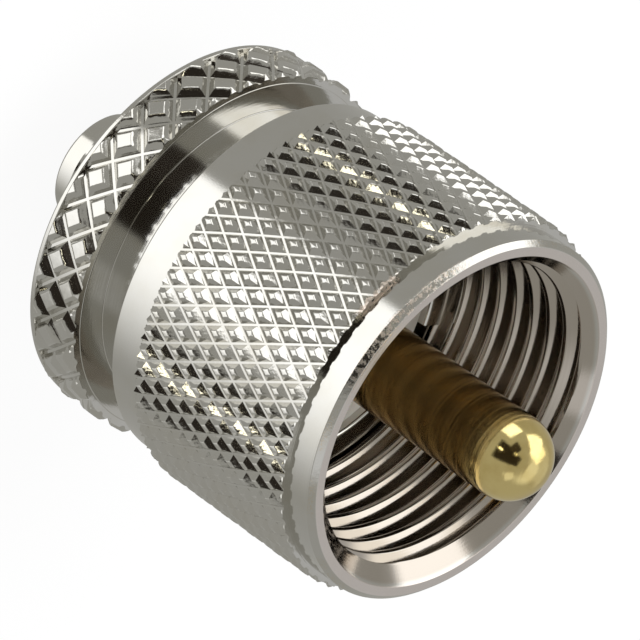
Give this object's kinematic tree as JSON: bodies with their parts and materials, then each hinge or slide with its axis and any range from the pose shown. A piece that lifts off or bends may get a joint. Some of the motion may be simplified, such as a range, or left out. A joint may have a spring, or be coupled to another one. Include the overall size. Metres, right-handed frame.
{
  "type": "uhf connector",
  "caption": "Coaxial plug adapter with a knurled threaded coupling ring, a round-nosed centre pin, a knurled flange and a small threaded socket at the rear.",
  "frame": {"origin": "centre of the rear socket's flat end, on the connector's axis", "axes": "+Z along the axis from the rear socket to the tip of the centre pin; the two locating notches lie at 20 and 200 degrees about +Z from +X"},
  "size_m": [0.0186, 0.0186, 0.0288],
  "materials": {
    "ring_nickel": "bright nickel plate, brassy where the front edges have worn",
    "body_nickel": "bright nickel plate",
    "insulator": "waxy off-white",
    "pin_brass": "bright at the nose, duller along the shaft",
    "contact_gold": "bright"
  },
  "bodies": {
    "connector_body": {"front_shell": "body_nickel", "rear_body": "body_nickel", "front_insulator": "insulator", "centre_pin": "pin_brass", "rear_insulator": "insulator", "socket_contact": "contact_gold"},
    "ring": {"coupling_ring": "ring_nickel"}
  },
  "joints": [
    {"name": "ring_turn", "type": "hinge", "parent": "connector_body", "child": "ring", "pos_m": [0, 0, 0.01165], "axis": [0, 0, 1], "continuous": true}
  ]
}
